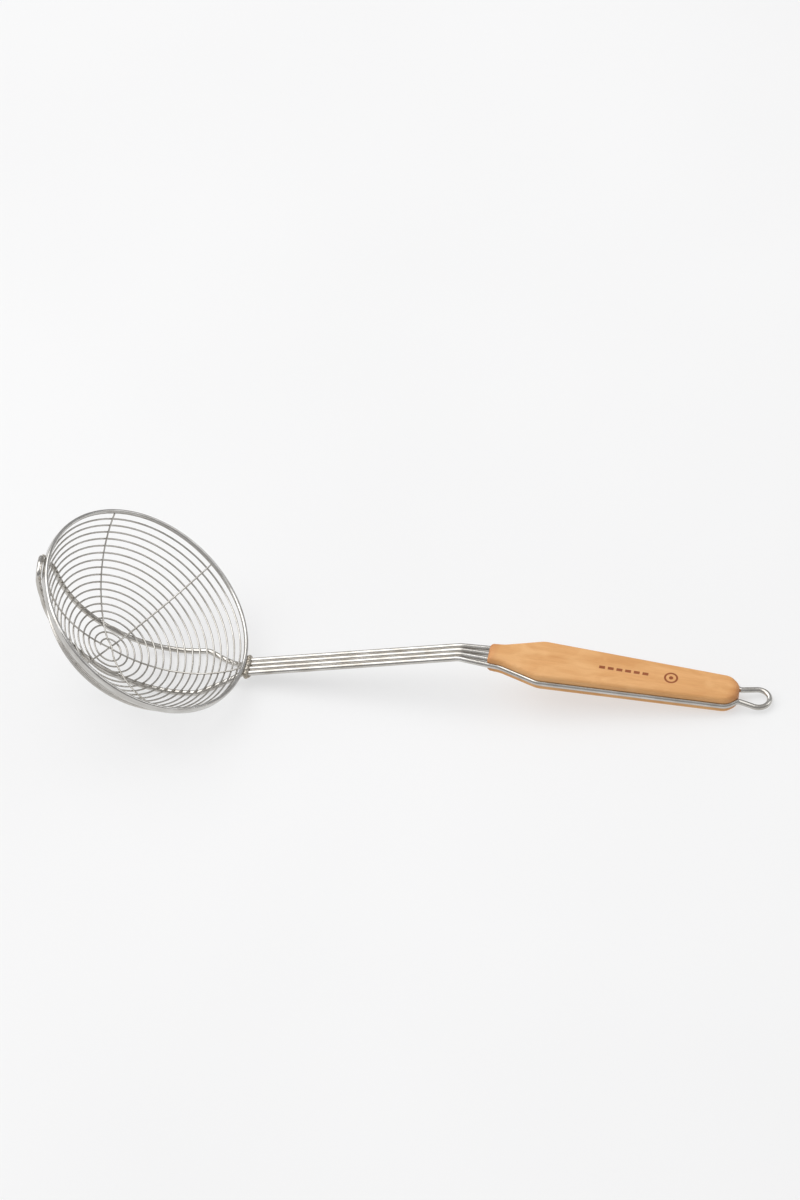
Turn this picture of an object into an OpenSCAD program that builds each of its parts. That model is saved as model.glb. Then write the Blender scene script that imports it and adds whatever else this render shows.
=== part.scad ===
// Wire skimmer: a spiral wire bowl on a welded wire frame with a wooden handle.
// Lengths are in millimetres. The bowl is drawn round its own axis, with the top of its rim at
// z = 0 and the shank leaving towards +X. place() then sets the whole tool down on its two
// support wires and the end of its handle.

/* [Bowl] */
// Diameter over the rim band
bowl_d = 140; // [110:1:180]
// Depth from the top of the rim to the wire at the bottom
bowl_depth = 47.5; // [35:0.5:60]
// Diameter of the spiral wire
mesh_d = 1.1; // [0.8:0.1:1.4]
// Distance from one turn of the spiral to the next, along the wall
mesh_pitch = 4.44; // [3.5:0.01:7]
// Diameter of the three cross wires
spoke_d = 1.1; // [0.8:0.1:1.4]

/* [Rim band] */
// Thickness of the folded strip
band_t = 0.5; // [0.3:0.1:0.8]
// Height of the strip's outer leg, with the fold
band_h = 4.5; // [3.5:0.1:8]
// Width of the fold over both legs
fold_w = 2.4; // [2:0.1:3.5]
// Height of the strip's inner leg, below the fold
lip_h = 0.9; // [0.3:0.1:2]

/* [Frame wires] */
// Diameter of the two heavy wires
frame_d = 3.3; // [2.6:0.1:4]
// Distance between the support wires under the bowl, near the shank
support_gap_back = 35; // [24:1:44]
// Distance between the support wires under the bowl, near the hook
support_gap_front = 29; // [20:1:40]
// Width of the front hook between its wire centres
hook_w = 13; // [12:1:24]
// How far the hook's middle lies to the side of the shank
hook_shift = 7; // [0:1:10]
// Extra gap between the hook and the rim band
hook_gap = 0.2; // [0:0.1:4]

/* [Shank] */
// Length of the shank from the rim to its bend
shank_len = 132.5; // [90:0.5:180]
// Angle of the shank above the plane of the rim
shank_angle = 48.4; // [35:0.1:55]
// Distance from the bend to the wood
neck_gap = 17.5; // [12:0.5:30]

/* [Handle] */
// Angle of the handle above the plane of the rim
handle_angle = 30; // [20:0.5:34]
// Length of the wood
handle_len = 150.5; // [120:0.5:190]
// Width of the wood at its neck
neck_w = 13.2; // [12:0.1:18]
// Width of the wood at its shoulders
handle_w = 29.4; // [22:0.1:36]
// Width of the wood near its end
end_w = 20; // [16:0.1:26]
// Thickness of the wood
handle_t = 12.5; // [9:0.1:16]
// Length of the straight neck
neck_len = 8; // [5:0.5:14]
// Distance from the neck's end face to the widest point
shoulder_at = 31.5; // [24:0.5:45]
// Length of the rounded end
round_len = 6; // [4:0.5:9]
// Radius of the edges at both ends
end_edge_r = 3; // [1:0.5:4]
// How far the two inner wires reach into the wood
socket_depth = 25; // [15:1:40]

/* [Hanging loop] */
// Radius of the loop's round end, to the middle of the wire
loop_r = 7; // [5:0.1:10]
// Distance from the wood to the tip of the loop, to the middle of the wire
loop_len = 18.5; // [14:0.5:30]
// Distance between the wires where they leave the wood
loop_neck = 9; // [7:0.1:14]

/* [Fits] */
// Gap between wires that lie side by side
wire_gap = 0.15; // [0.05:0.05:0.4]
// Gap round a wire in its groove or socket
groove_gap = 0.25; // [0.1:0.05:0.5]
// Gap between wires that cross
cross_gap = 0.05; // [0.02:0.01:0.2]

/* [Hidden] */

STEEL = [0.78, 0.78, 0.77];
WELD = [0.6, 0.59, 0.57];
WOOD = [0.87, 0.67, 0.44];

// The spiral is made of straight steps, and the cross wires clear the middles of its steps
steps_a_turn = 36;
step_sag = bowl_d / 2 * (1 - cos(180 / steps_a_turn));
spoke_in = mesh_d / 2 + spoke_d / 2 + step_sag + cross_gap;

// Wall of the bowl: part of a sphere through the middle of the spiral wire. Its last turn lies
// against the strip's outer leg, just below the inner leg
rim_drop = fold_w / 2 + lip_h + mesh_d / 2 + cross_gap;
wall_r = bowl_d / 2 - band_t - mesh_d / 2 - cross_gap;
wall_depth = bowl_depth - rim_drop;
sphere_r = (wall_r * wall_r + wall_depth * wall_depth) / (2 * wall_depth);
sphere_z = sphere_r - bowl_depth;
wall_arc = sphere_r * asin(wall_r / sphere_r) * PI / 180;

// Spiral, counted in turns from the bottom
first_turn = 1.33;
last_turn = wall_arc / mesh_pitch;
spiral_start = 186;

// Directions of the cross wires' ends round the bowl, from the shank
spoke_ends = [[-3, 186], [61.5, 242], [122, 303.5]];
stack_step = spoke_d + cross_gap;
stack_reach = 5;

// Frame wires: they lie against the spiral, and stand off where they pass the rim band
heavy_sides = 8;
thin_sides = 6;
frame_sphere = sphere_r + ring(mesh_d, thin_sides) + ring(frame_d, heavy_sides) + cross_gap;
band_foot = norm([bowl_d / 2, sphere_z + band_h]);
rim_sphere = band_foot + ring(frame_d, heavy_sides) + cross_gap;
band_rise = 8;
wire_pitch = frame_d + wire_gap;
inner_y = wire_pitch / 2;
outer_y = 1.5 * wire_pitch;
support_corner_back = 0.79 * wall_r;
support_corner_front = 0.83 * wall_r;
back_bend_r = 6;
front_bend_r = 12;
hook_drop = band_h + 0.5;
hook_r = sqrt(rim_sphere * rim_sphere - pow(sphere_z + hook_drop, 2));
hook_bend_r = 4;
hook_rise = 14;
joint_drop = 1;
joint_x = sqrt(rim_sphere * rim_sphere - pow(sphere_z + joint_drop, 2));
joint = [joint_x, 0, -joint_drop];

// Shank and handle directions
shank_dir = [cos(shank_angle), 0, sin(shank_angle)];
handle_dir = [cos(handle_angle), 0, sin(handle_angle)];
handle_up = [-sin(handle_angle), 0, cos(handle_angle)];
side = [0, 1, 0];
bend = joint + shank_len * shank_dir;
shank_bend_r = 10;
neck_at = neck_gap;
end_at = neck_gap + handle_len;
inner_neck_y = neck_w / 6;
neck_flare = 0.4;
groove_d = frame_d + 2 * groove_gap;

// Half outline of the wood, as [along, across, corner radius]
corner_neck = [neck_at + neck_len, neck_w / 2 + neck_flare, 18];
corner_shoulder = [neck_at + shoulder_at, handle_w / 2, 14];
corner_end = [end_at - round_len, end_w / 2, 9];
corner_tip = [end_at, loop_neck / 2, 3];
tip_r = 7;
loop_mid = end_at + loop_len - loop_r;
loop_flare = asin((loop_r - loop_neck / 2) / (loop_mid - end_at));

// Welds
weld_r = 3.1;
weld_gap = 0.1;
weld_bite = 0.5;
weld_at = (bowl_d / 2 + weld_gap + weld_r - weld_bite - joint_x) / cos(shank_angle);
bead_r = 1.9;
bead_drop = 3.6;
bead_back = hook_r - sqrt(pow(rim_sphere, 2) - pow(sphere_z + band_h + bead_drop, 2));
bead_in = rim_sphere - sphere_r - ring(mesh_d, thin_sides) - bead_r - weld_gap;
bead_aside = frame_d / 2 + 0.5;

// Resting attitude: a line that touches the support wires from below and the handle's end
support_y = support_gap_back / 2;
belly_r = sqrt(frame_sphere * frame_sphere - support_y * support_y) + frame_d / 2;
heel = bend + (end_at - end_edge_r) * handle_dir - (handle_t / 2 - end_edge_r) * handle_up;
heel_x = heel[0];
heel_z = heel[2] - sphere_z;
heel_far = sqrt(heel_x * heel_x + heel_z * heel_z);
rest_tilt = atan2(heel_z, heel_x) + asin((belly_r - end_edge_r) / heel_far);
rest_z = belly_r - sphere_z * cos(rest_tilt);

// Middle of the tool's length in its resting attitude
front_x = -(hook_r + hook_gap) * cos(rest_tilt) - hook_drop * sin(rest_tilt) - frame_d / 2;
tip = bend + (end_at + loop_len) * handle_dir;
back_x = tip[0] * cos(rest_tilt) + tip[2] * sin(rest_tilt) + frame_d / 2;
rest_x = -(front_x + back_x) / 2;

module place() {
    translate([rest_x, 0, rest_z]) rotate([0, rest_tilt, 0]) children();
}

// ---- Routes -------------------------------------------------------------------------------

function unit(v) = v / norm(v);

// Distance from the middle of a wire with flat sides to its edges
function ring(d, sides) = d / 2 / sqrt(cos(180 / sides));
function backwards(points) = [for (i = [len(points) - 1:-1:0]) points[i]];
function mirrored(points) = [for (p = backwards(points)) [p[0], -p[1], p[2]]];

// Replaces corner b between a and c by an arc of radius r
function corner_arc(a, b, c, r, steps = 6) =
    let (u = unit(a - b), v = unit(c - b), turn = 180 - acos(u * v), back = r * tan(turn / 2))
    let (mid = unit(u + v), centre = b + mid * r / cos(turn / 2))
    let (across = unit(v - u))
    [for (i = [0:steps]) let (t = turn * (i / steps - 0.5))
        centre - r * cos(t) * mid + r * sin(t) * across];

// Rounds the inner corners of a route of flat points [x, y, radius]
function flat(p) = [p[0], p[1]];
function rounded(p) = [for (i = [0:len(p) - 1])
    each (i == 0 || i == len(p) - 1 || p[i][2] == 0)
        ? [flat(p[i])]
        : corner_arc(flat(p[i - 1]), flat(p[i]), flat(p[i + 1]), p[i][2])];

// Moves a route of [x, y, radius] points to its right by d, with its corners kept parallel
function moved(p, d) = [for (i = [0:len(p) - 1])
    let (a = max(i, 1), b = min(i, len(p) - 2) + 1)
    let (u = unit(flat(p[a] - p[a - 1])), v = unit(flat(p[b] - p[b - 1])))
    let (m = [u[1] + v[1], -u[0] - v[0]], turn = u[0] * v[1] - u[1] * v[0])
    concat(flat(p[i]) + m * d / (1 + u * v), max(0, p[i][2] + sign(turn) * d))];

// Adds points so that no stretch of a route is longer than step
function divided(p, step) = [for (i = [0:len(p) - 1])
    each i == len(p) - 1
        ? [p[i]]
        : let (n = ceil(norm(p[i + 1] - p[i]) / step))
            [for (k = [0:n - 1]) p[i] + (p[i + 1] - p[i]) * k / n]];

// Point on a sphere round the bowl's wall, below a point of its plan
function on_sphere(p, r) = [p[0], p[1], sphere_z - sqrt(r * r - p[0] * p[0] - p[1] * p[1])];

// Point of the handle's middle plane
function in_handle(p) = bend + p[0] * handle_dir + p[1] * side;

// ---- Shapes -------------------------------------------------------------------------------

// A wire of diameter d along points, as a tube with the given number of sides
module wire(points, d, sides) {
    last = len(points) - 1;
    verts = [for (i = [0:last])
        let (t = unit(points[min(i + 1, last)] - points[max(i - 1, 0)]))
        let (u = unit(cross(t, [0, 0, 1])), v = cross(u, t))
        for (k = [0:sides - 1]) let (a = 360 * (k + 0.5) / sides)
            points[i] + ring(d, sides) * (cos(a) * u + sin(a) * v)];
    walls = [for (i = [0:last - 1], k = [0:sides - 1]) let (m = (k + 1) % sides)
        each [[i * sides + k, i * sides + m, (i + 1) * sides + k],
            [(i + 1) * sides + k, i * sides + m, (i + 1) * sides + m]]];
    polyhedron(verts, concat(walls, [[for (k = [sides - 1:-1:0]) k]],
        [[for (k = [0:sides - 1]) last * sides + k]]));
}

// A straight rod from a to b
module rod(a, b, d) {
    run = b - a;
    translate(a) rotate([0, acos(run[2] / norm(run)), atan2(run[1], run[0])])
        cylinder(d = d, h = norm(run), $fn = 48);
}

// The room of the rim band and all inside it, which the welds stay clear of
module inside_band() {
    translate([0, 0, -band_h - weld_gap])
        cylinder(r = bowl_d / 2 + weld_gap, h = band_h + 12, $fn = 180);
}

// ---- Sub-parts ----------------------------------------------------------------------------

module rim_band() {
    mid = [(bowl_d - fold_w) / 2, -fold_w / 2];
    color(STEEL) place() rotate_extrude($fn = 180) {
        translate(mid) intersection() {
            difference() {
                circle(d = fold_w, $fn = 64);
                circle(d = fold_w - 2 * band_t, $fn = 64);
            }
            translate([-fold_w, 0]) square([2 * fold_w, fold_w]);
        }
        translate(mid + [fold_w / 2 - band_t, fold_w / 2 - band_h])
            square([band_t, band_h - fold_w / 2]);
        translate(mid + [-fold_w / 2, -lip_h]) square([band_t, lip_h]);
    }
}

module spiral_wire() {
    steps = floor((last_turn - first_turn) * steps_a_turn);
    points = [for (i = [0:steps])
        let (turn = first_turn + i / steps_a_turn)
        let (r = sphere_r * sin(turn * mesh_pitch / sphere_r * 180 / PI))
        let (a = spiral_start - 360 * i / steps_a_turn)
        on_sphere([r * cos(a), r * sin(a)], sphere_r)];
    color(STEEL) place() wire(points, mesh_d, thin_sides);
}

// A cross wire from rim to rim, lifted over the ones below it where they meet at the bottom
module spoke_wire(ends, level) {
    r = sphere_r - spoke_in;
    top = sqrt(r * r - pow(sphere_z + rim_drop, 2));
    path = divided([top * [cos(ends[0]), sin(ends[0])], [0, 0],
        top * [cos(ends[1]), sin(ends[1])]], 3);
    points = [for (p = path)
        let (lift = level * stack_step * exp(-pow(norm(p) / stack_reach, 2)))
        on_sphere(p, r) + [0, 0, lift]];
    color(STEEL) place() wire(points, spoke_d, thin_sides);
}

module spoke_wire_1() { spoke_wire(spoke_ends[0], 0); }
module spoke_wire_2() { spoke_wire(spoke_ends[1], 1); }
module spoke_wire_3() { spoke_wire(spoke_ends[2], 2); }

// Plan of one support wire, from the junction to the middle of the hook
function front_corner(s) = [-support_corner_front, s * support_gap_front / 2, front_bend_r];
function hook_corner(s) = let (y = s * hook_w / 2 - hook_shift)
    [-sqrt(hook_r * hook_r - y * y), y, hook_bend_r];
function support_plan(s) = rounded([
    [joint_x, s * inner_y, 0],
    [support_corner_back, s * support_gap_back / 2, back_bend_r],
    front_corner(s), hook_corner(s), [-hook_r, -hook_shift, 0]]);

// The support wires follow the wall, and stand off beside the rim band and at the hook
function beside_band(p) = max(0, min(1, 1 + (norm(p) - wall_r) / band_rise));
function on_frame(p) = on_sphere(p, frame_sphere + (rim_sphere - frame_sphere) * beside_band(p)
    + hook_gap * max(0, 1 + (-p[0] - joint_x) / hook_rise));
function support_route(s) = [for (p = divided(support_plan(s), 4)) on_frame(p)];

// One of the four shank wires, from above the junction to the wood
function shank_route(y, neck_y) = concat(
    divided([joint + [0, y, 0] + 2 * shank_dir, bend - 5 * shank_dir + [0, y, 0]], 30),
    corner_arc(joint + [0, y, 0], bend + [0, y, 0], in_handle([neck_at, neck_y]), shank_bend_r),
    [in_handle([neck_at, neck_y])]);

module hook_wire() {
    half = concat([in_handle([neck_at + socket_depth, inner_neck_y])],
        backwards(shank_route(inner_y, inner_neck_y)), support_route(1));
    other = concat(
        shank_route(-inner_y, -inner_neck_y),
        [in_handle([neck_at + socket_depth, -inner_neck_y])]);
    hook = [for (i = [len(support_route(-1)) - 2:-1:0]) support_route(-1)[i]];
    color(STEEL) place() wire(concat(half, hook, other), frame_d, heavy_sides);
}

// Half of the outer wire's route in the handle's plane: neck, flank and hanging loop
flank = [[neck_at, neck_w / 2, 0], corner_neck, corner_shoulder, corner_end, corner_tip,
    [loop_mid - loop_r * sin(loop_flare), loop_r * cos(loop_flare), 0]];
function loop_arc() = [for (a = [90 + loop_flare - 12:-12:6])
    [loop_mid + loop_r * cos(a), loop_r * sin(a)]];

module loop_wire() {
    half = concat([joint + [0, outer_y, 0]], shank_route(outer_y, neck_w / 2),
        [for (p = divided(concat(rounded(flank), loop_arc()), 30)) in_handle(p)]);
    color(STEEL) place()
        wire(concat(half, [tip], mirrored(half)), frame_d, heavy_sides);
}

// Weld beads above and below the four wires where they meet the rim
module junction_weld() {
    reach = outer_y + 0.6;
    middle = joint + weld_at * shank_dir;
    color(WELD) place() difference() {
        union() {
            rod(middle - reach * side, middle + reach * side, 2 * weld_r);
            for (s = [-1, 1]) translate(middle + s * reach * side) sphere(weld_r, $fn = 48);
        }
        for (y = [-outer_y, -inner_y, inner_y, outer_y])
            translate([0, y, 0]) rod(joint - 9 * shank_dir, joint + 20 * shank_dir,
                wire_pitch + weld_gap);
        for (s = [-1, 1], i = [0:2]) let (leg = support_route(s))
            rod(leg[i], leg[i + 1], frame_d + 4 * weld_gap);
        inside_band();
    }
}

// Two beads that hold the hook's wires to the rim band
module front_welds() {
    color(WELD) place() for (s = [-1, 1]) {
        corner = flat(hook_corner(s));
        leg = unit(corner - flat(front_corner(s)));
        foot = on_frame(corner - bead_back * leg);
        along = unit(foot - on_frame(corner - 2 * bead_back * leg));
        out = unit(foot - [0, 0, sphere_z]);
        aside = s * unit(cross(out, along));
        difference() {
            translate(foot - bead_in * out + bead_aside * aside) sphere(bead_r, $fn = 32);
            rod(foot - 8 * along, foot + 8 * along, frame_d + 4 * weld_gap);
            inside_band();
        }
    }
}

module handle() {
    half = rounded([[neck_at, neck_w / 2, 0], corner_neck, corner_shoulder, corner_end,
        [corner_tip[0], corner_tip[1], tip_r], [end_at, 0, 0]]);
    core = rounded(moved(flank, groove_d / 2));
    color(WOOD) place() translate(bend) rotate([0, -handle_angle, 0]) difference() {
        intersection() {
            translate([0, 0, -handle_t / 2]) linear_extrude(handle_t) both_sides(half);
            translate([0, handle_w / 2 + 1, 0]) rotate([90, 0, 0])
                linear_extrude(handle_w + 2) side_outline();
        }
        translate([0, 0, -groove_d / 2]) linear_extrude(groove_d) difference() {
            translate([neck_at - 1, -handle_w]) square([handle_len + 2, 2 * handle_w]);
            both_sides(concat([[neck_at - 2, core[0][1]]], core));
        }
        for (s = [-1, 1]) rod([neck_at - 3, s * inner_neck_y, 0],
            [neck_at + socket_depth, s * inner_neck_y, 0], groove_d);
    }
}

// Closed shape from its half on the left
module both_sides(half) {
    polygon(concat(half, [for (p = backwards(half)) [p[0], -p[1]]]));
}

// Side view of the wood, with rounded edges at both ends
module side_outline() {
    for (x = [neck_at + end_edge_r, end_at - end_edge_r], z = [-1, 1])
        translate([x, z * (handle_t / 2 - end_edge_r)]) circle(end_edge_r, $fn = 48);
    translate([neck_at + end_edge_r, -handle_t / 2])
        square([handle_len - 2 * end_edge_r, handle_t]);
    translate([neck_at, end_edge_r - handle_t / 2])
        square([handle_len, handle_t - 2 * end_edge_r]);
}

rim_band();
spiral_wire();
spoke_wire_1();
spoke_wire_2();
spoke_wire_3();
hook_wire();
loop_wire();
junction_weld();
front_welds();
handle();
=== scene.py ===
import math

import bmesh
import bpy
import numpy as np
from mathutils import Matrix, Vector, noise


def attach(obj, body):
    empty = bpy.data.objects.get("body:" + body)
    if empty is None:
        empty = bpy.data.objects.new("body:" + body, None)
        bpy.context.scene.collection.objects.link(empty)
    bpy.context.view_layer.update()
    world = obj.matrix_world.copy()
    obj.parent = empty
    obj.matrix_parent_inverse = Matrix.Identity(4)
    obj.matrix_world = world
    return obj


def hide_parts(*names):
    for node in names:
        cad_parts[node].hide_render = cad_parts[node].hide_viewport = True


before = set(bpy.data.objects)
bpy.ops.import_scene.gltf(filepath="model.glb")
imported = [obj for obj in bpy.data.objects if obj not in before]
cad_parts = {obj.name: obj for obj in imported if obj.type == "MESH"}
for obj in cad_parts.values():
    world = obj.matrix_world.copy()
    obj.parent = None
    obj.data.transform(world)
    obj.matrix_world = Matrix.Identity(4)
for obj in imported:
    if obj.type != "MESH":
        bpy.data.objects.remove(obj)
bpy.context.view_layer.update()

MM = 0.001

# ---- Sizes as in the CAD model: millimetres, and angles in radians where nothing else is said -------

BOWL_D = 140.0
BOWL_DEPTH = 47.5
MESH_D = 1.1
MESH_PITCH = 4.44
SPOKE_D = 1.1
BAND_T = 0.5
BAND_H = 4.5
FOLD_W = 2.4
LIP_H = 0.9
FRAME_D = 3.3
SUPPORT_GAP_BACK = 35.0
SUPPORT_GAP_FRONT = 29.0
HOOK_W = 13.0
HOOK_SHIFT = 7.0
HOOK_GAP = 0.2
SHANK_LEN = 132.5
SHANK_ANGLE = math.radians(48.4)
NECK_GAP = 17.5
HANDLE_ANGLE = math.radians(30)
HANDLE_LEN = 150.5
NECK_W = 13.2
NECK_SWELL = 0.4
HANDLE_W = 29.4
END_W = 20.0
HANDLE_T = 12.5
NECK_LEN = 8.0
SHOULDER_AT = 31.5
ROUND_LEN = 6.0
SOCKET_DEPTH = 25.0
LOOP_R = 7.0
LOOP_LEN = 18.5
LOOP_NECK = 9.0
WIRE_GAP = 0.15
GROOVE_GAP = 0.25
CROSS_GAP = 0.05
BEAD_DROP = 3.6
MARK_AT = 127.0
SPIRAL_START = math.radians(186)
FIRST_TURN = 1.33  # in turns of the spiral
SPOKE_ENDS = ((-3, 186), (61.5, 242), (122, 303.5))  # in degrees round the rim
WALL_GAP = 0.12
WELD_OUT = 2.3
BACK_CORNER, FRONT_CORNER = 0.79, 0.83  # as parts of the wall's radius
BACK_BEND, FRONT_BEND, HOOK_BEND, SHANK_BEND = 6, 12, 4, 10
CORNER_R, NECK_R, SHOULDER_R, END_R, TIP_R, FLARE_R = 2.2, 18, 14, 9, 7, 3

# ---- Places worked out from them -------------------------------------------------------------------

RIM_DROP = FOLD_W / 2 + LIP_H + MESH_D / 2 + CROSS_GAP
WALL_R = BOWL_D / 2 - BAND_T - MESH_D / 2 - CROSS_GAP
WALL_DEPTH = BOWL_DEPTH - RIM_DROP
SPHERE_R = (WALL_R ** 2 + WALL_DEPTH ** 2) / (2 * WALL_DEPTH)
SPHERE_Z = SPHERE_R - BOWL_DEPTH
LAST_TURN = SPHERE_R * math.asin(WALL_R / SPHERE_R) / MESH_PITCH
FRAME_SPHERE = SPHERE_R + (MESH_D + FRAME_D) / 2 + WALL_GAP
RIM_SPHERE = math.hypot(BOWL_D / 2, SPHERE_Z + BAND_H) + FRAME_D / 2 + WALL_GAP
BAND_RISE = 8.0
WIRE_PITCH = FRAME_D + WIRE_GAP
INNER_Y = WIRE_PITCH / 2
OUTER_Y = 1.5 * WIRE_PITCH
JOINT_DROP = 1.0
JOINT = np.array([math.sqrt(RIM_SPHERE ** 2 - (SPHERE_Z + JOINT_DROP) ** 2), 0, -JOINT_DROP])
SHANK_DIR = np.array([math.cos(SHANK_ANGLE), 0, math.sin(SHANK_ANGLE)])
HANDLE_DIR = np.array([math.cos(HANDLE_ANGLE), 0, math.sin(HANDLE_ANGLE)])
HANDLE_UP = np.array([-math.sin(HANDLE_ANGLE), 0, math.cos(HANDLE_ANGLE)])
SIDE = np.array([0.0, 1.0, 0.0])
BEND = JOINT + SHANK_LEN * SHANK_DIR
END_AT = NECK_GAP + HANDLE_LEN
HOOK_DROP = BAND_H + 0.5
HOOK_R = math.sqrt(RIM_SPHERE ** 2 - (SPHERE_Z + HOOK_DROP) ** 2)
HOOK_RISE = 14.0
LOOP_MID = END_AT + LOOP_LEN - LOOP_R
LOOP_FLARE = math.asin((LOOP_R - LOOP_NECK / 2) / (LOOP_MID - END_AT))

# ---- View: millimetres and degrees in the bowl's frame ----------------------------------------------

VIEW_AT = np.array([123.29, 30.19, 81.05])
VIEW_AWAY = 4182.2
VIEW_HEADING = -22.961
VIEW_RISE = 43.121
VIEW_ROLL = 45.594
LENS = 315


def vertex_values(mesh, name):
    """A vector for each vertex of a mesh: its place ("co") or its normal ("normal")."""
    values = np.empty(len(mesh.vertices) * 3)
    mesh.vertices.foreach_get(name, values)
    return values.reshape(-1, 3)


def bowl_matrix():
    """The bowl's frame: origin in the middle of the rim's top, Z along its axis, X towards the handle."""
    points = vertex_values(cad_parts["rim_band"].data, "co")
    axis = np.linalg.svd(points - points.mean(0), full_matrices=False)[2][2]
    axis *= np.sign(axis[2])
    across = SIDE - SIDE @ axis * axis
    across /= np.linalg.norm(across)
    along = np.cross(across, axis)
    local = points @ np.array([along, across, axis]).T
    low, high = local.min(0), local.max(0)
    middle = np.array([(low[0] + high[0]) / 2, (low[1] + high[1]) / 2, high[2]])
    turn = np.array([along, across, axis]).T
    return turn, turn @ middle


BOWL_TURN, BOWL_AT = bowl_matrix()


def to_row(points):
    """Points of the bowl's frame in millimetres, as points of the row frame in metres."""
    return np.asarray(points, float) * MM @ BOWL_TURN.T + BOWL_AT


# ---- Routes ----------------------------------------------------------------------------------------


def unit(v):
    return v / np.linalg.norm(v)


def corner_arc(a, b, c, r, steps):
    """Points that replace corner b between a and c by an arc of radius r."""
    u, v = unit(a - b), unit(c - b)
    turn = math.pi - math.acos(np.clip(u @ v, -1, 1))
    mid, across = unit(u + v), unit(v - u)
    centre = b + mid * r / math.cos(turn / 2)
    angles = turn * (np.arange(steps + 1) / steps - 0.5)
    return [centre - r * math.cos(t) * mid + r * math.sin(t) * across for t in angles]


def rounded(corners, steps=16):
    """Rounds the inner corners of a route of flat points (x, y, radius)."""
    flat = [np.array(c[:2], float) for c in corners]
    route = [flat[0]]
    for i in range(1, len(flat) - 1):
        route += corner_arc(flat[i - 1], flat[i], flat[i + 1], corners[i][2], steps)
    return route + [flat[-1]]


def divided(route, step):
    """Adds points so that no stretch of a route is longer than step."""
    out = []
    for a, b in zip(route, route[1:]):
        n = max(1, math.ceil(np.linalg.norm(b - a) / step))
        out += [a + (b - a) * k / n for k in range(n)]
    return out + [route[-1]]


def mirrored(route):
    return [p * np.array([1, -1, 1]) for p in reversed(route)]


def on_sphere(p, r):
    return np.array([p[0], p[1], SPHERE_Z - math.sqrt(r * r - p[0] ** 2 - p[1] ** 2)])


def in_handle(x, y, z=0.0):
    return BEND + x * HANDLE_DIR + y * SIDE + z * HANDLE_UP


# ---- Meshes ----------------------------------------------------------------------------------------


def mesh_object(name, points, faces):
    """An object of points and faces, with its faces turned outwards."""
    mesh = bpy.data.meshes.new(name)
    mesh.from_pydata([tuple(p) for p in points], [], faces)
    bm = bmesh.new()
    bm.from_mesh(mesh)
    bmesh.ops.recalc_face_normals(bm, faces=bm.faces)
    bm.to_mesh(mesh)
    bm.free()
    thing = bpy.data.objects.new(name, mesh)
    bpy.context.scene.collection.objects.link(thing)
    return thing


def evaluated_mesh(thing):
    """A copy of an object's mesh with its modifiers applied."""
    return bpy.data.meshes.new_from_object(thing.evaluated_get(bpy.context.evaluated_depsgraph_get()))


def new_piece(name, points, faces, node, material, grain, smooth_angle=40):
    """A mesh piece in the row frame, standing for a CAD node. The grain is each vertex's place in the
    material, in metres."""
    piece = mesh_object(name, to_row(points), faces)
    mesh = piece.data
    layer = mesh.attributes.new("grain", "FLOAT_VECTOR", "POINT")
    layer.data.foreach_set("vector", np.asarray(grain, np.float32).ravel())
    mesh.shade_smooth()
    mesh.set_sharp_from_angle(angle=math.radians(smooth_angle))
    mesh.materials.append(material)
    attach(piece, "root")
    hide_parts(node)


def quads(rings, sides, closed=False):
    """Faces between neighbouring rings of points; closed joins the last ring to the first."""
    return [(i * sides + k, i * sides + (k + 1) % sides,
             (i + 1) % rings * sides + (k + 1) % sides, (i + 1) % rings * sides + k)
            for i in range(rings if closed else rings - 1) for k in range(sides)]


def tube(route, d, sides, end_r=0.3):
    """A round wire of diameter d along a route, with its ends' edges rounded by end_r. Returns points,
    faces and each point's grain: its distance along the wire and its place round it, in metres."""
    route = np.array(route, float)
    n = len(route)
    tangent = np.gradient(route, axis=0)
    tangent /= np.linalg.norm(tangent, axis=1)[:, None]
    run = np.concatenate([[0], np.cumsum(np.linalg.norm(np.diff(route, axis=0), axis=1))])
    u = np.empty_like(route)
    u[0] = unit(np.cross(tangent[0], [0.3, 0.2, 1.0]))
    for i in range(1, n):
        u[i] = unit(u[i - 1] - u[i - 1] @ tangent[i] * tangent[i])
    v = np.cross(tangent, u)
    angle = 2 * math.pi * np.arange(sides) / sides
    ring = np.cos(angle)[None, :, None] * u[:, None] + np.sin(angle)[None, :, None] * v[:, None]
    around = np.column_stack([np.cos(angle), np.sin(angle)]) * d / 2
    rings, place = [], []

    def add(i, inset=0.0, shift=0.0):
        rings.append(route[i] + shift * tangent[i] + (d / 2 - inset) * ring[i])
        place.append(np.column_stack([np.full(sides, run[i]), around]))

    edge = [(end_r * (1 - math.cos(a)), end_r * (math.sin(a) - 1)) for a in np.radians([90, 60, 30, 0])]
    for inset, back in edge:
        add(0, inset, back + end_r)
    for i in range(1, n - 1):
        add(i)
    for inset, back in edge[::-1]:
        add(n - 1, inset, -back - end_r)
    count = len(rings)
    points = np.concatenate(rings)
    faces = quads(count, sides)
    faces.append(tuple(range(sides)))
    faces.append(tuple((count - 1) * sides + k for k in range(sides)))
    return points, faces, np.concatenate(place) * MM


# ---- Materials -------------------------------------------------------------------------------------


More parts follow.
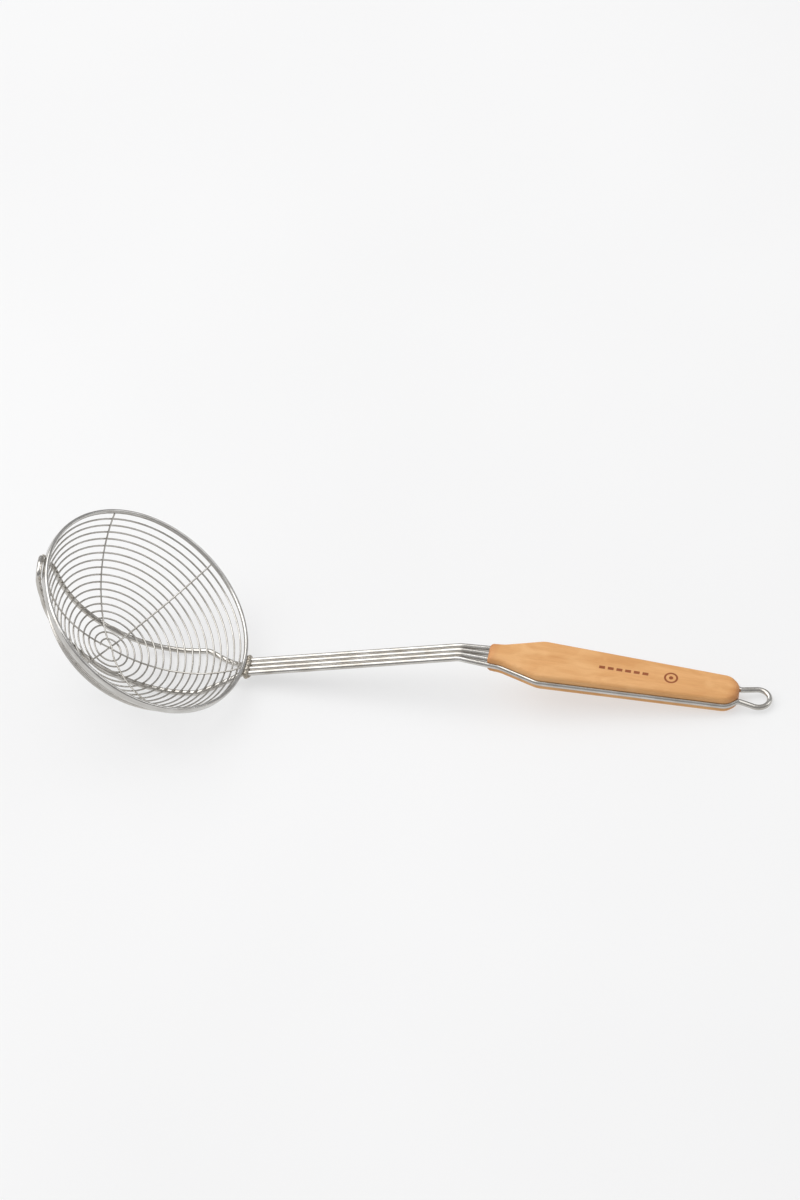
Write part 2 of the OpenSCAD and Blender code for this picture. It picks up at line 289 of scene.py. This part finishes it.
class Graph:
    """Short ways to add and join the nodes of a material."""

    def __init__(self, name):
        self.material = bpy.data.materials.new(name)
        self.material.use_nodes = True
        self.tree = self.material.node_tree
        self.tree.nodes.clear()
        self.shader = self.node("ShaderNodeBsdfPrincipled")
        self.join(self.shader.outputs[0], self.node("ShaderNodeOutputMaterial").inputs[0])

    def node(self, kind, **settings):
        node = self.tree.nodes.new(kind)
        for key, value in settings.items():
            setattr(node, key, value)
        return node

    def join(self, output, socket):
        self.tree.links.new(output, socket)

    def grain(self, scale):
        """The piece's own coordinates in metres, stretched."""
        place = self.node("ShaderNodeAttribute", attribute_name="grain")
        mapping = self.node("ShaderNodeMapping")
        mapping.inputs["Scale"].default_value = scale
        self.join(place.outputs["Vector"], mapping.inputs["Vector"])
        return mapping.outputs["Vector"]

    def noise(self, vector, scale=1.0, detail=3.0, rough=0.5, distortion=0.0):
        node = self.node("ShaderNodeTexNoise")
        self.join(vector, node.inputs["Vector"])
        node.inputs["Scale"].default_value = scale
        node.inputs["Detail"].default_value = detail
        node.inputs["Roughness"].default_value = rough
        node.inputs["Distortion"].default_value = distortion
        return node.outputs["Fac"]

    def ramp(self, value, stops):
        node = self.node("ShaderNodeValToRGB")
        while len(node.color_ramp.elements) < len(stops):
            node.color_ramp.elements.new(0.5)
        for element, (at, colour) in zip(node.color_ramp.elements, stops):
            element.position = at
            element.color = (*colour, 1)
        self.join(value, node.inputs["Fac"])
        return node.outputs["Color"]

    def span(self, value, low, high, new_low, new_high):
        node = self.node("ShaderNodeMapRange")
        for socket, number in zip(node.inputs[1:5], (low, high, new_low, new_high)):
            socket.default_value = number
        self.join(value, node.inputs["Value"])
        return node.outputs["Result"]

    def math(self, operation, a, b):
        node = self.node("ShaderNodeMath", operation=operation)
        for socket, value in zip(node.inputs, (a, b)):
            if isinstance(value, (int, float)):
                socket.default_value = value
            else:
                self.join(value, socket)
        return node.outputs[0]

    def mix(self, factor, a, b, blend="MIX"):
        node = self.node("ShaderNodeMix", data_type="RGBA", blend_type=blend)
        for name, value in (("Factor", factor), ("A", a), ("B", b)):
            socket = next(s for s in node.inputs if s.name == name and s.enabled)
            if isinstance(value, tuple):
                socket.default_value = (*value, 1)
            elif isinstance(value, (int, float)):
                socket.default_value = value
            else:
                self.join(value, socket)
        return next(s for s in node.outputs if s.enabled)

    def bump(self, height, distance, strength=1.0, after=None):
        node = self.node("ShaderNodeBump")
        node.inputs["Distance"].default_value = distance
        node.inputs["Strength"].default_value = strength
        self.join(height, node.inputs["Height"])
        if after is not None:
            self.join(after, node.inputs["Normal"])
        return node.outputs["Normal"]


def srgb(r, g, b):
    """A colour given in 0 to 255, as the shader's linear values."""
    parts = (r / 255, g / 255, b / 255)
    return tuple(c / 12.92 if c <= 0.04045 else ((c + 0.055) / 1.055) ** 2.4 for c in parts)


def steel(name, base, tarnish, roughness, along=(60, 2600, 2600)):
    """Drawn stainless steel: bright, with faint lines along the wire and slow changes of tone."""
    g = Graph(name)
    g.shader.inputs["Metallic"].default_value = 1.0
    lines = g.noise(g.grain(along), detail=4, rough=0.6)
    slow = g.noise(g.grain((90, 150, 150)), detail=2)
    tone = g.ramp(slow, ((0.3, base), (0.75, tarnish)))
    g.join(g.mix(g.span(lines, 0.3, 0.7, 0, 0.35), tone, tarnish), g.shader.inputs["Base Color"])
    g.join(g.span(lines, 0.25, 0.75, roughness * 0.75, roughness * 1.35), g.shader.inputs["Roughness"])
    g.join(g.bump(lines, 0.00002, 0.5), g.shader.inputs["Normal"])
    return g.material


def weld_steel(name):
    """Weld beads: rippled, duller than the wire and faintly stained by heat."""
    g = Graph(name)
    g.shader.inputs["Metallic"].default_value = 1.0
    place = g.grain((1000, 1000, 1000))
    ripples = g.noise(place, 0.9, detail=3, distortion=0.4)
    stain = g.noise(place, 0.35, detail=2)
    tones = ((0.3, srgb(196, 192, 186)), (0.55, srgb(172, 164, 150)), (0.8, srgb(120, 112, 108)))
    g.join(g.ramp(stain, tones), g.shader.inputs["Base Color"])
    g.join(g.span(ripples, 0.3, 0.7, 0.28, 0.5), g.shader.inputs["Roughness"])
    g.join(g.bump(ripples, 0.0003, 0.5), g.shader.inputs["Normal"])
    return g.material


def place_in_wood(g):
    """The place in the handle, in millimetres: along it, across it and upwards."""
    parts = g.node("ShaderNodeSeparateXYZ")
    g.join(g.grain((1000, 1000, 1000)), parts.inputs[0])
    return parts.outputs


def near(g, value, middle, reach, soft=0.12):
    """1 where value is within reach of middle, with a soft edge."""
    away = g.math("ABSOLUTE", g.math("SUBTRACT", value, middle), 0)
    return g.span(away, reach - soft, reach + soft, 1, 0)


def end_grain(g):
    """1 at the two rounded ends of the wood, which are darker and polished by wear."""
    x = place_in_wood(g)[0]
    middle = (NECK_GAP + END_AT) / 2
    away = g.math("ABSOLUTE", g.math("SUBTRACT", x, middle), 0)
    ragged = g.math("MULTIPLY", g.noise(g.grain((40, 260, 260)), detail=3), 5)
    return g.span(g.math("ADD", away, ragged), HANDLE_LEN / 2 - 4, HANDLE_LEN / 2 + 3, 0, 1)


def burnt_mark(g):
    """A ring with a dot in it, and a row of equal dashes, burnt into the top of the wood."""
    ring_r, ring_half_w, dot_r = 3.6, 0.6, 1.3
    dash_pitch, dash_half_w = 5.2, 1.1
    row_at, row_reach = MARK_AT - 28.4, 15.6
    x, y, z = place_in_wood(g)
    from_middle = g.math("SQRT", g.math("ADD", g.math("POWER", g.math("SUBTRACT", x, MARK_AT), 2),
                                        g.math("POWER", y, 2)), 0)
    ring = g.math("MAXIMUM", near(g, from_middle, ring_r, ring_half_w), near(g, from_middle, 0, dot_r))
    phase = g.math("FRACT", g.math("DIVIDE", g.math("SUBTRACT", x, row_at - 3 * dash_pitch), dash_pitch), 0)
    dashes = g.math("MULTIPLY", near(g, phase, 0.5, 0.34, 0.03), near(g, y, 0, dash_half_w))
    dashes = g.math("MULTIPLY", dashes, near(g, x, row_at, row_reach))
    return g.math("MULTIPLY", g.math("MAXIMUM", ring, dashes), g.span(z, 3, 4, 0, 1))


def wood(name):
    """Pale orange-tan wood with fine grain along the handle, darker where the ends are cut across it."""
    g = Graph(name)
    wavy = g.noise(g.grain((14, 120, 120)), detail=3, rough=0.55, distortion=0.6)
    fibres = g.noise(g.grain((60, 1800, 1800)), detail=5, rough=0.65)
    pores = g.noise(g.grain((220, 5200, 5200)), detail=2, rough=0.7)
    tones = ((0.25, srgb(207, 147, 88)), (0.45, srgb(217, 161, 101)), (0.7, srgb(226, 171, 112)))
    board = g.ramp(wavy, tones)
    board = g.mix(g.span(fibres, 0.42, 0.72, 0, 0.5), board, srgb(206, 142, 82))
    blotches = g.noise(g.grain((45, 90, 90)), detail=2, distortion=1.2)
    board = g.mix(g.span(blotches, 0.45, 0.75, 0, 0.45), board, srgb(240, 192, 134))
    board = g.mix(g.span(pores, 0.6, 0.75, 0, 0.35), board, srgb(164, 104, 58))
    board = g.mix(g.math("MULTIPLY", end_grain(g), 0.6), board, srgb(176, 100, 48))
    burnt = g.math("MULTIPLY", burnt_mark(g), g.span(fibres, 0.3, 0.6, 1, 0.85))
    board = g.mix(burnt, board, srgb(134, 58, 18))
    g.join(board, g.shader.inputs["Base Color"])
    g.join(g.span(fibres, 0.3, 0.7, 0.42, 0.6), g.shader.inputs["Roughness"])
    g.shader.inputs["Specular IOR Level"].default_value = 0.4
    fine = g.bump(pores, 0.00006, 0.6)
    g.join(g.bump(fibres, 0.00012, 0.5, fine), g.shader.inputs["Normal"])
    return g.material


STEEL = steel("polished_steel_wire", srgb(214, 212, 208), srgb(176, 171, 163), 0.2)
BAND = steel("rolled_steel_band", srgb(214, 213, 210), srgb(184, 181, 176), 0.2, (200, 200, 5200))
WELD = weld_steel("weld_steel")
WOOD = wood("oiled_wood")

# ---- Bowl ------------------------------------------------------------------------------------------


def rim_band():
    """The strip folded over the bowl's edge, turned round the bowl's axis."""
    fold = np.radians(np.linspace(0, 180, 17))
    edge = np.radians(np.linspace(0, 180, 7))
    half, mid = BAND_T / 2, (BOWL_D - FOLD_W) / 2

    def leg_end(r, bottom):
        return [(r + half * math.cos(a), bottom + half * (1 - math.sin(a))) for a in edge]

    def turn(r):
        return [(mid + r * math.cos(a), r * math.sin(a) - FOLD_W / 2) for a in fold]

    section = turn(FOLD_W / 2) + leg_end(mid - FOLD_W / 2 + half, -FOLD_W / 2 - LIP_H)[::-1]
    section += turn(FOLD_W / 2 - BAND_T)[::-1] + leg_end(BOWL_D / 2 - half, -BAND_H)[::-1]
    section = np.array(section)
    x, z = section.T
    step = np.linalg.norm(np.roll(section, -1, 0) - section, axis=1)
    height = np.concatenate([[0], np.cumsum(step)[:-1]])
    around = 288
    a = (2 * math.pi * np.arange(around) / around)[:, None]

    def turned(third):
        return np.stack([np.cos(a) * x, np.sin(a) * x, np.tile(third, (around, 1))], -1).reshape(-1, 3)

    faces = quads(around, len(section), closed=True)
    new_piece("rim_band_strip", turned(z), faces, "rim_band", BAND, turned(height) * MM)


def spiral_wire():
    """The one long wire of the bowl, wound on its sphere from the middle out to the rim."""
    a_turn = 90
    steps = int((LAST_TURN - FIRST_TURN) * a_turn)
    route = []
    for i in range(steps + 1):
        r = SPHERE_R * math.sin((FIRST_TURN + i / a_turn) * MESH_PITCH / SPHERE_R)
        a = SPIRAL_START - 2 * math.pi * i / a_turn
        route.append(on_sphere((r * math.cos(a), r * math.sin(a)), SPHERE_R))
    points, faces, grain = tube(route, MESH_D, 12, 0.15)
    new_piece("spiral_mesh_wire", points, faces, "spiral_wire", STEEL, grain)


def spoke_wires():
    """Cross wires welded to the inside of the spiral; each passes over the ones before it at the bottom."""
    sink = 0.12
    r = SPHERE_R - MESH_D / 2 - SPOKE_D / 2 + sink
    stack_step = SPOKE_D - sink
    stack_reach = 5.0
    top = math.sqrt(r * r - (SPHERE_Z + RIM_DROP) ** 2)
    for level, ends in enumerate(SPOKE_ENDS):
        a, b = (top * np.array([math.cos(math.radians(e)), math.sin(math.radians(e))]) for e in ends)
        route = []
        for p in divided([a, np.zeros(2), b], 1.0):
            lift = level * stack_step * math.exp(-(np.linalg.norm(p) / stack_reach) ** 2)
            route.append(on_sphere(p, r) + [0, 0, lift])
        points, faces, grain = tube(route, SPOKE_D, 12, 0.15)
        name, node = f"cross_wire_{level + 1}", f"spoke_wire_{level + 1}"
        new_piece(name, points, faces, node, STEEL, grain)


# ---- Frame -----------------------------------------------------------------------------------------


def front_corner(s):
    return (-FRONT_CORNER * WALL_R, s * SUPPORT_GAP_FRONT / 2, FRONT_BEND)


def hook_corner(s):
    y = s * HOOK_W / 2 - HOOK_SHIFT
    return (-math.sqrt(HOOK_R ** 2 - y * y), y, HOOK_BEND)


def on_frame(p):
    """A support wire's point over its plan: it follows the wall, clears the rim band and, at the front,
    stands off it by the hook's gap."""
    beside = float(np.clip(1 + (np.linalg.norm(p[:2]) - WALL_R) / BAND_RISE, 0, 1))
    in_front = max(0, 1 + (-p[0] - JOINT[0]) / HOOK_RISE)
    return on_sphere(p, FRAME_SPHERE + (RIM_SPHERE - FRAME_SPHERE) * beside + HOOK_GAP * in_front)


def support_route(s):
    """One support wire, from the junction under the bowl to the middle of the hook."""
    plan = rounded([(JOINT[0], s * INNER_Y), (BACK_CORNER * WALL_R, s * SUPPORT_GAP_BACK / 2, BACK_BEND),
                    front_corner(s), hook_corner(s), (-HOOK_R, -HOOK_SHIFT)])
    return [on_frame(p) for p in divided(plan, 1.5)]


def shank_route(y, neck_y):
    """One of the four shank wires, from above the junction to the wood."""
    neck = in_handle(NECK_GAP, neck_y)
    bend = corner_arc(JOINT + y * SIDE, BEND + y * SIDE, neck, SHANK_BEND, 16)
    return divided([JOINT + y * SIDE + 2 * SHANK_DIR] + bend + [neck], 3)


def hook_wire():
    """The inner wire: shank, one support, the hook, the other support and the shank again."""
    neck_y = NECK_W / 6
    socket = NECK_GAP + SOCKET_DEPTH
    left = [in_handle(socket, neck_y)] + shank_route(INNER_Y, neck_y)[::-1] + support_route(1)
    right = support_route(-1)[-2::-1] + shank_route(-INNER_Y, -neck_y) + [in_handle(socket, -neck_y)]
    points, faces, grain = tube(left + right, FRAME_D, 24)
    new_piece("inner_frame_wire", points, faces, "hook_wire", STEEL, grain)


def flank_corners():
    """The corners down one side of the wood, in the handle's plane, with the bend of the wire at each."""
    return [(NECK_GAP, NECK_W / 2, 0), (NECK_GAP + NECK_LEN, NECK_W / 2 + NECK_SWELL, NECK_R),
            (NECK_GAP + SHOULDER_AT, HANDLE_W / 2, SHOULDER_R), (END_AT - ROUND_LEN, END_W / 2, END_R),
            (END_AT, LOOP_NECK / 2, FLARE_R)]


def flank_route():
    """Half of the outer wire's way round the wood and the hanging loop, in the handle's plane."""
    leave = (LOOP_MID - LOOP_R * math.sin(LOOP_FLARE), LOOP_R * math.cos(LOOP_FLARE), 0)
    angles = np.arange(90 + math.degrees(LOOP_FLARE) - 6, 0, -6)
    arc = [np.array([LOOP_MID + LOOP_R * math.cos(a), LOOP_R * math.sin(a)]) for a in np.radians(angles)]
    return divided(rounded(flank_corners() + [leave]) + arc, 2.5)


def loop_wire():
    """The outer wire: shank, one flank of the wood, the hanging loop, the other flank and the shank."""
    half = [JOINT + OUTER_Y * SIDE] + shank_route(OUTER_Y, NECK_W / 2)
    half += [in_handle(*p) for p in flank_route()[1:]]
    tip = [in_handle(LOOP_MID + LOOP_R, 0)]
    points, faces, grain = tube(half + tip + mirrored(half), FRAME_D, 24)
    new_piece("outer_frame_wire", points, faces, "loop_wire", STEEL, grain)


# ---- Welds -----------------------------------------------------------------------------------------


def lumps(name, beads, node, seed):
    """Weld metal: overlapping round beads joined into one skin and roughened."""
    bm = bmesh.new()
    for centre, r in beads:
        made = bmesh.ops.create_icosphere(bm, subdivisions=3, radius=r)
        bmesh.ops.translate(bm, verts=made["verts"], vec=Vector(centre))
    mesh = bpy.data.meshes.new(name)
    bm.to_mesh(mesh)
    bm.free()
    piece = bpy.data.objects.new(name, mesh)
    bpy.context.scene.collection.objects.link(piece)
    remesh = piece.modifiers.new("skin", "REMESH")
    remesh.mode, remesh.voxel_size = "VOXEL", 0.16
    soften = piece.modifiers.new("soften", "SMOOTH")
    soften.iterations, soften.factor = 6, 0.5
    made = evaluated_mesh(piece)
    bpy.data.objects.remove(piece)
    points, normals = vertex_values(made, "co"), vertex_values(made, "normal")
    swell = np.array([noise.noise(Vector(p) * 0.9 + Vector((seed, 0, 0))) for p in points])
    ripple = np.array([noise.noise(Vector(p) * 2.6 + Vector((0, seed, 0))) for p in points])
    points = points + normals * (0.22 * swell + 0.07 * ripple)[:, None]
    faces = [tuple(f.vertices) for f in made.polygons]
    new_piece(name, points, faces, node, WELD, points * MM)


def junction_weld():
    """A lumpy bar of weld across the four wires, hard against the rim band."""
    reach, bead_r, bead_up = 6.6, 1.75, 1.1
    middle = JOINT + (BOWL_D / 2 + WELD_OUT - JOINT[0]) / SHANK_DIR[0] * SHANK_DIR
    up = np.cross(SHANK_DIR, SIDE)
    beads = []
    for way in (-1, 1):
        for y in np.linspace(-reach, reach, 11):
            wobble = noise.noise(Vector((y * 0.7, way * 3.1, 0.4)))
            centre = middle + y * SIDE + bead_up * way * up + 0.8 * wobble * SHANK_DIR
            beads.append((centre, bead_r + 0.4 * wobble))
    lumps("junction_weld_beads", beads, "junction_weld", 11.3)


def front_welds():
    """A bead beside each hook wire, where it meets the lower edge of the rim band."""
    bead_in, bead_aside = 0.8, 1.7
    beads = []
    for s in (-1, 1):
        corner = np.array(hook_corner(s)[:2])
        leg = unit(corner - np.array(front_corner(s)[:2]))
        back = HOOK_R - math.sqrt(RIM_SPHERE ** 2 - (SPHERE_Z + BAND_H + BEAD_DROP) ** 2)
        foot = on_frame(corner - back * leg)
        along = unit(foot - on_frame(corner - 2 * back * leg))
        out = unit(foot - np.array([0, 0, SPHERE_Z]))
        aside = s * unit(np.cross(out, along))
        for k, r in ((-0.7, 0.9), (0, 1.1), (0.7, 0.85)):
            beads.append((foot - bead_in * out + bead_aside * aside + k * along, r))
    lumps("hook_weld_beads", beads, "front_welds", 4.7)


# ---- Handle ----------------------------------------------------------------------------------------


def inset_loop(d_side, d_end, arc_steps=12, straight_steps=(10, 12, 110, 8), face_steps=18):
    """The handle's outline as four runs of points (left flank, tip, right flank, neck), moved inwards by
    d_side along its flanks and d_end at its ends. The number of points is the same whatever the move."""
    half = [(NECK_GAP, 0), (NECK_GAP, NECK_W / 2), *[c[:2] for c in flank_corners()[1:]], (END_AT, 0)]
    radii = [0, CORNER_R, NECK_R, SHOULDER_R, END_R, TIP_R, 0]
    moves = [d_end, d_side, d_side, d_side, (d_side + d_end) / 2, d_end]
    half = [np.array(p, float) for p in half]
    ways = [unit(b - a) for a, b in zip(half, half[1:])]
    inward = [np.array([w[1], -w[0]]) for w in ways]
    corners = [half[0] + moves[0] * inward[0]]
    for i in range(1, len(half) - 1):
        rows = np.array([inward[i - 1], inward[i]])
        corners.append(half[i] + np.linalg.solve(rows, [moves[i - 1], moves[i]]))
    corners.append(half[-1] + moves[-1] * inward[-1])
    corners[0][1] = corners[-1][1] = 0
    arcs = []
    for i in range(1, len(corners) - 1):
        turn = ways[i - 1][0] * ways[i][1] - ways[i - 1][1] * ways[i][0]
        r = max(0.4, radii[i] + np.sign(turn) * moves[i])
        arcs.append(corner_arc(corners[i - 1], corners[i], corners[i + 1], r, 2 * arc_steps))
    neck = [corners[0] + (arcs[0][0] - corners[0]) * k / face_steps for k in range(face_steps)]
    neck += arcs[0][:arc_steps + 1]
    flank = arcs[0][arc_steps:]
    for arc, n in zip(arcs[1:], straight_steps):
        flank += [flank[-1] + (arc[0] - flank[-1]) * k / n for k in range(1, n)] + list(arc)
    flank = flank[:len(flank) - arc_steps]
    tip = arcs[-1][arc_steps:] + [arcs[-1][-1] + (corners[-1] - arcs[-1][-1]) * k / face_steps
                                 for k in range(1, face_steps + 1)]
    flip = np.array([1, -1])
    tip = tip + [p * flip for p in tip[-2::-1]]
    neck = [p * flip for p in neck[::-1]] + neck[1:]
    return np.array(flank), np.array(tip), np.array(flank)[::-1] * flip, np.array(neck)


def handle_body():
    """The wood as a closed mesh: its side wall is swept round the outline, and two grids close it."""
    half_t = HANDLE_T / 2
    edge_side, edge_end, crown = 2.0, 3.0, 0.25
    outer = np.concatenate([run[:-1] for run in inset_loop(0, 0)])
    runs = inset_loop(edge_side, edge_end)
    inner = np.concatenate([run[:-1] for run in runs])
    n = len(outer)
    near_end = np.clip(np.minimum(outer[:, 0] - NECK_GAP, END_AT - outer[:, 0]) / 5, 0, 1)
    edge = edge_end + (edge_side - edge_end) * near_end
    rings = []
    steps = np.radians(np.linspace(0, 90, 9))
    for a in steps[::-1]:
        shrink = 1 - math.cos(a)
        rings.append((outer + (inner - outer) * shrink, half_t - crown - edge * (1 - math.sin(a))))
    rings += [(outer, z * (half_t - crown - edge)) for z in (0.5, 0, -0.5)]
    rings += [(flat, -z) for flat, z in rings[8::-1]]
    points = np.concatenate([np.column_stack([flat, z]) for flat, z in rings])
    faces = quads(len(rings), n)
    flank, tip, back, neck = runs
    rows, columns = len(flank) - 1, len(tip) - 1
    u = np.linspace(0, 1, rows + 1)[:, None, None]
    v = np.linspace(0, 1, columns + 1)[None, :, None]
    left, right, start, end = flank[:, None], back[::-1][:, None], neck[::-1][None], tip[None]
    grid = ((1 - v) * left + v * right + (1 - u) * start + u * end
            - (1 - u) * (1 - v) * left[0] - (1 - u) * v * right[0]
            - u * (1 - v) * left[-1] - u * v * right[-1])
    swell = crown * (1 - (2 * v - 1) ** 2) * np.minimum(1, 6 * np.minimum(u, 1 - u))
    swell = swell * (2 - swell / crown)
    for way in (1, -1):
        base = len(points)
        index = np.empty((rows + 1, columns + 1), int)
        z = way * (half_t - crown + swell[..., 0])
        index[1:-1, 1:-1] = base + np.arange((rows - 1) * (columns - 1)).reshape(rows - 1, columns - 1)
        ring = 0 if way == 1 else (len(rings) - 1) * n
        loop = [(i, 0) for i in range(rows)] + [(rows, j) for j in range(columns)]
        loop += [(rows - i, columns) for i in range(rows)] + [(0, columns - j) for j in range(columns)]
        for k, (i, j) in enumerate(loop):
            index[i, j] = ring + k
        inside = np.dstack([grid, z])[1:-1, 1:-1].reshape(-1, 3)
        points = np.concatenate([points, inside])
        faces += [(index[i, j], index[i, j + 1], index[i + 1, j + 1], index[i + 1, j])
                  for i in range(rows) for j in range(columns)]
    return points, [tuple(int(k) for k in f) for f in faces]


def handle():
    """The wood with a round groove for the outer wire down each side, and two holes for the inner wire."""
    body = mesh_object("wooden_handle", *handle_body())
    groove_d = FRAME_D + 2 * GROOVE_GAP
    start = NECK_GAP - 4
    cutters = []
    for s in (1, -1):
        route = [np.array([start, s * NECK_W / 2, 0])]
        route += [np.array([p[0], s * p[1], 0]) for p in flank_route() if p[0] < END_AT + 5]
        cutters.append(tube(route, groove_d, 24)[:2])
        hole = [np.array([x, s * NECK_W / 6, 0]) for x in np.linspace(start, NECK_GAP + SOCKET_DEPTH, 4)]
        cutters.append(tube(hole, groove_d, 24)[:2])
    for i, cutter in enumerate(cutters):
        tool = mesh_object(f"cutter_{i}", *cutter)
        cut = body.modifiers.new("cut", "BOOLEAN")
        cut.operation, cut.solver, cut.object = "DIFFERENCE", "EXACT", tool
        made = evaluated_mesh(body)
        body.modifiers.clear()
        body.data = made
        bpy.data.objects.remove(tool)
    local = vertex_values(body.data, "co")
    faces = [tuple(f.vertices) for f in body.data.polygons]
    bpy.data.objects.remove(body)
    placed = np.array([in_handle(*p) for p in local])
    new_piece("wooden_handle", placed, faces, "handle", WOOD, local * MM, 35)


# ---- Stage, light and camera -----------------------------------------------------------------------


def stage():
    """A pale floor, which gives off some light of its own so that the shadows stay faint."""
    bpy.ops.mesh.primitive_plane_add(size=30)
    floor = bpy.context.object
    floor.name = "floor"
    g = Graph("pale_paper_floor")
    place = g.node("ShaderNodeTexCoord").outputs["Object"]
    tones = ((0.3, (0.29, 0.29, 0.29)), (0.7, (0.31, 0.31, 0.31)))
    g.join(g.ramp(g.noise(place, 3, detail=2), tones), g.shader.inputs["Base Color"])
    g.shader.inputs["Emission Color"].default_value = (1, 1, 1, 1)
    g.shader.inputs["Emission Strength"].default_value = 0.585
    g.shader.inputs["Roughness"].default_value = 0.9
    g.shader.inputs["Specular IOR Level"].default_value = 0.1
    floor.data.materials.append(g.material)


def soft_light(name, at, size, power, target=(0, 0, 0)):
    data = bpy.data.lights.new(name, "AREA")
    data.shape, data.size, data.size_y = "RECTANGLE", *size
    data.energy = power
    lamp = bpy.data.objects.new(name, data)
    bpy.context.scene.collection.objects.link(lamp)
    lamp.location = at
    lamp.rotation_euler = (Vector(target) - Vector(at)).to_track_quat("-Z", "Y").to_euler()


def lights():
    soft_light("top_softbox", (-1.3, 0.5, 2.5), (3.4, 3.4), 70)
    soft_light("left_softbox", (-3.2, -0.9, 1.6), (1.8, 2.2), 20)
    soft_light("right_softbox", (3.0, 1.2, 2.2), (1.6, 2.0), 17)
    world = bpy.data.worlds.new("studio")
    bpy.context.scene.world = world
    world.use_nodes = True
    tree = world.node_tree
    sky = tree.nodes["Background"]
    height = tree.nodes.new("ShaderNodeSeparateXYZ")
    direction = tree.nodes.new("ShaderNodeTexCoord")
    ramp = tree.nodes.new("ShaderNodeValToRGB")
    tree.links.new(direction.outputs["Generated"], height.inputs[0])
    tree.links.new(height.outputs["Z"], ramp.inputs["Fac"])
    tree.links.new(ramp.outputs["Color"], sky.inputs["Color"])
    ramp.color_ramp.elements[0].color = (0.30, 0.30, 0.31, 1)
    ramp.color_ramp.elements[1].color = (0.70, 0.70, 0.71, 1)
    sky.inputs["Strength"].default_value = 0.88


def camera():
    """A long lens far away. Its place and turn are given from the bowl, whose rim set the viewing angle."""
    heading, rise, roll = np.radians([VIEW_HEADING, VIEW_RISE, VIEW_ROLL])
    level = np.array([math.cos(heading), math.sin(heading), 0])
    across = np.array([math.sin(heading), -math.cos(heading), 0])
    back = math.cos(rise) * across + math.sin(rise) * np.array([0, 0, 1])
    right = math.cos(roll) * level + math.sin(roll) * np.cross(back, level)
    up = np.cross(back, right)
    data = bpy.data.cameras.new("camera")
    data.sensor_fit = "HORIZONTAL"
    data.sensor_width = 36
    data.lens = LENS
    data.clip_start, data.clip_end = 0.5, 60
    cam = bpy.data.objects.new("camera", data)
    bpy.context.scene.collection.objects.link(cam)
    axes = BOWL_TURN @ np.array([right, up, back]).T
    place = Matrix.Translation(Vector(to_row(VIEW_AT + VIEW_AWAY * back)))
    cam.matrix_world = place @ Matrix([tuple(row) for row in axes]).to_4x4()
    bpy.context.scene.camera = cam


bpy.context.scene.view_settings.view_transform = "Standard"
camera()
rim_band()
spiral_wire()
spoke_wires()
hook_wire()
loop_wire()
junction_weld()
front_welds()
handle()
stage()
lights()
